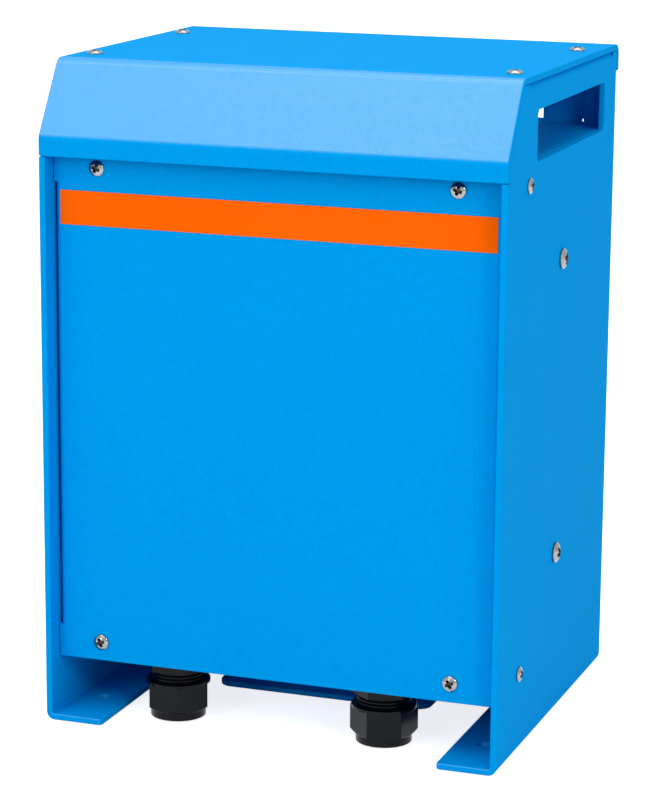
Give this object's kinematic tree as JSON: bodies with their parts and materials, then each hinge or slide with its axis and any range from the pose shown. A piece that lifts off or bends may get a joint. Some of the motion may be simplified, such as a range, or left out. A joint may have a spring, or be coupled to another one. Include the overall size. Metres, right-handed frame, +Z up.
{
  "type": "isolation transformer",
  "caption": "Wall-mounted isolation transformer in a blue sheet metal case with a sloping hood, side hand holds and cable glands underneath.",
  "frame": {"origin": "centre of the case on the plane of its feet", "axes": "+Z up, +X towards the case's right side as seen from its front, front cover faces -Y"},
  "size_m": [0.2646, 0.218, 0.3643],
  "materials": {
    "blue_sheet": "satin powder coat with a fine grain",
    "orange_stripe": "smooth satin film",
    "plated_steel": "nickel plated",
    "zinc_sheet": "bright zinc plated sheet",
    "core_steel": "wound electrical steel strip",
    "winding_tape": "clear amber polyester tape over copper",
    "black_nylon": "moulded black polyamide",
    "rubber": "soft black rubber",
    "wire_brown": "brown and blue insulated wire",
    "wire_green": "green insulated wire",
    "board_green": "solder mask on glass fibre board",
    "component_black": "moulded housing",
    "component_grey": "ceramic body",
    "capacitor_blue": "sleeved can"
  },
  "bodies": {
    "case": {"left_side_panel": "blue_sheet", "right_side_panel": "blue_sheet", "hood": "blue_sheet", "hood_screws": "plated_steel", "deck": "blue_sheet", "rear_panel": "blue_sheet", "rear_panel_screws": "plated_steel", "bottom_plate": "blue_sheet", "side_panel_screws": "plated_steel", "support_plate_screws": "plated_steel", "clinch_nuts_m4": "zinc_sheet", "clinch_nuts_m6": "zinc_sheet", "transformer_support_plate": "blue_sheet", "toroid_core": "core_steel", "toroid_winding": "winding_tape", "front_rubber_pad": "rubber", "rear_rubber_pad": "rubber", "clamping_dish": "zinc_sheet", "transformer_bolt": "zinc_sheet", "transformer_nut": "zinc_sheet", "lead_grommets": "rubber", "input_leads": "wire_brown", "output_leads": "wire_brown", "input_terminal_block": "component_grey", "output_terminal_block": "component_grey", "terminal_screws": "plated_steel", "terminal_mount_screws": "plated_steel", "earth_stud": "zinc_sheet", "earth_nuts": "zinc_sheet", "earth_lug": "zinc_sheet", "earth_lead": "wire_green", "soft_start_board": "board_green", "board_standoffs": "plated_steel", "board_screws": "plated_steel", "board_relays": "component_black", "board_resistor": "component_grey", "board_capacitors": "capacitor_blue", "board_connector": "component_black", "control_leads": "wire_brown", "gland_gaskets": "rubber", "left_gland_body": "black_nylon", "right_gland_body": "black_nylon", "gland_locknuts": "black_nylon"},
    "front_cover": {"front_cover": "blue_sheet", "front_stripe": "orange_stripe", "front_cover_screws": "plated_steel"},
    "left_gland_seal": {"left_gland_seal": "rubber"},
    "left_gland_nut": {"left_gland_nut": "black_nylon"},
    "right_gland_seal": {"right_gland_seal": "rubber"},
    "right_gland_nut": {"right_gland_nut": "black_nylon"}
  },
  "joints": [
    {"name": "cover_lift_off", "type": "slide", "parent": "case", "child": "front_cover", "axis": [0, -1, 0], "range_m": [0, 0.15]},
    {"name": "left_seal_squeeze", "type": "slide", "parent": "case", "child": "left_gland_seal", "axis": [0, 0, 1], "range_m": [0, 0.006]},
    {"name": "left_nut_turn", "type": "hinge", "parent": "left_gland_seal", "child": "left_gland_nut", "pos_m": [-0.0647, -0.0745, 0.012], "axis": [0, 0, 1], "range_deg": [0, 1080]},
    {"name": "right_seal_squeeze", "type": "slide", "parent": "case", "child": "right_gland_seal", "axis": [0, 0, 1], "range_m": [0, 0.006]},
    {"name": "right_nut_turn", "type": "hinge", "parent": "right_gland_seal", "child": "right_gland_nut", "pos_m": [0.0556, -0.0745, 0.012], "axis": [0, 0, 1], "range_deg": [0, 1080]}
  ],
  "couplings": [
    {"joint": "left_seal_squeeze", "follows": "left_nut_turn", "m_per_rad": 0.0003183},
    {"joint": "right_seal_squeeze", "follows": "right_nut_turn", "m_per_rad": 0.0003183}
  ]
}
